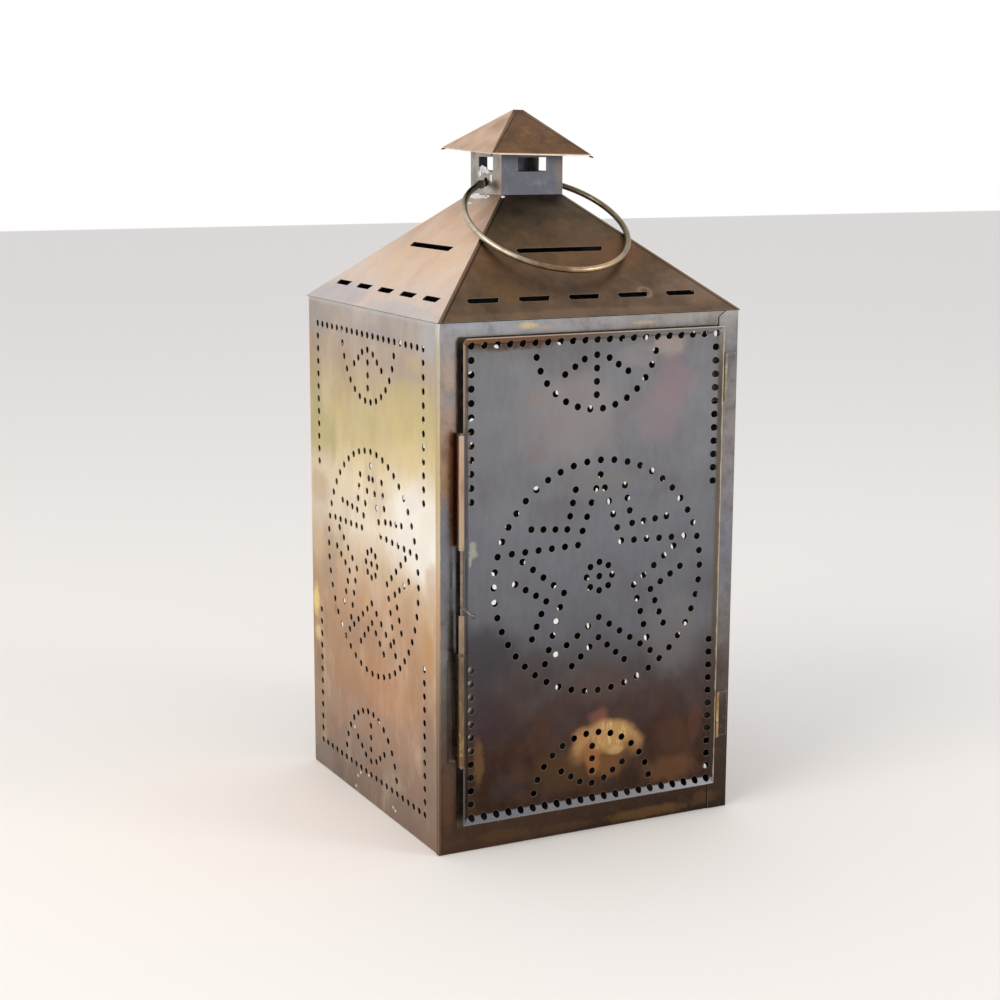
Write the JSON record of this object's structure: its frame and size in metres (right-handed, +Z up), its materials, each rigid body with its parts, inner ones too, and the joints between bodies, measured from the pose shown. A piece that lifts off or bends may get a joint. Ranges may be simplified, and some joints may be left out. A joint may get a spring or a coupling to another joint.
{
  "type": "candle lantern",
  "caption": "Square punched-tin candle lantern with hinged star-punched door, slotted hip roof, windowed cupola, pyramid cap and wire carrying ring.",
  "frame": {"origin": "on the floor under the middle of the body", "axes": "+Z up, -Y toward the door, +X toward the hinges"},
  "size_m": [0.179, 0.2, 0.384],
  "materials": {
    "wall_tin": "aged tinplate, fine brushed, cream and gold patina over grey",
    "door_tin": "aged tinplate darkened blue-grey, brown and rust toward the foot",
    "frame_tin": "aged tinplate, blue-grey and brown, edges worn bright",
    "roof_tin": "aged tinplate, mottled bronze brown, edges worn bright",
    "steel_wire": "drawn wire, dull with brown marks",
    "hinge_steel": "small steel butt hinge, darkened",
    "solder": "tin solder, bright and lumpy"
  },
  "bodies": {
    "lantern": {"floor_pan": "wall_tin", "left_panel": "wall_tin", "back_panel": "wall_tin", "right_panel": "wall_tin", "front_frame": "frame_tin", "drip_pan": "wall_tin", "candle_socket": "wall_tin", "roof_front": "roof_tin", "roof_left": "roof_tin", "roof_back": "roof_tin", "roof_right": "roof_tin", "cupola": "frame_tin", "cap": "roof_tin", "lower_latch_strip": "frame_tin", "upper_latch_strip": "frame_tin", "lower_hinge_frame_leaf": "hinge_steel", "upper_hinge_frame_leaf": "hinge_steel", "lower_hinge_pin": "steel_wire", "upper_hinge_pin": "steel_wire"},
    "door": {"door_panel": "door_tin", "lower_hinge_door_leaf": "hinge_steel", "upper_hinge_door_leaf": "hinge_steel"},
    "latch": {"latch_rod": "steel_wire", "latch_sleeve": "frame_tin", "latch_lever": "steel_wire", "latch_solder": "solder"},
    "ring": {"ring_handle": "steel_wire", "ring_solder": "solder"}
  },
  "joints": [
    {"name": "door_hinge", "type": "hinge", "parent": "lantern", "child": "door", "pos_m": [0.08, -0.0907, 0.149], "axis": [0, 0, 1], "range_deg": [0, 130]},
    {"name": "latch_swing", "type": "hinge", "parent": "lantern", "child": "latch", "pos_m": [-0.07895, -0.09489, 0.136], "axis": [0, 0, 1], "range_deg": [-90, 90]},
    {"name": "ring_swing", "type": "hinge", "parent": "lantern", "child": "ring", "pos_m": [0, 0, 0.34518], "axis": [-1, 0, 0], "range_deg": [0, 119]}
  ]
}
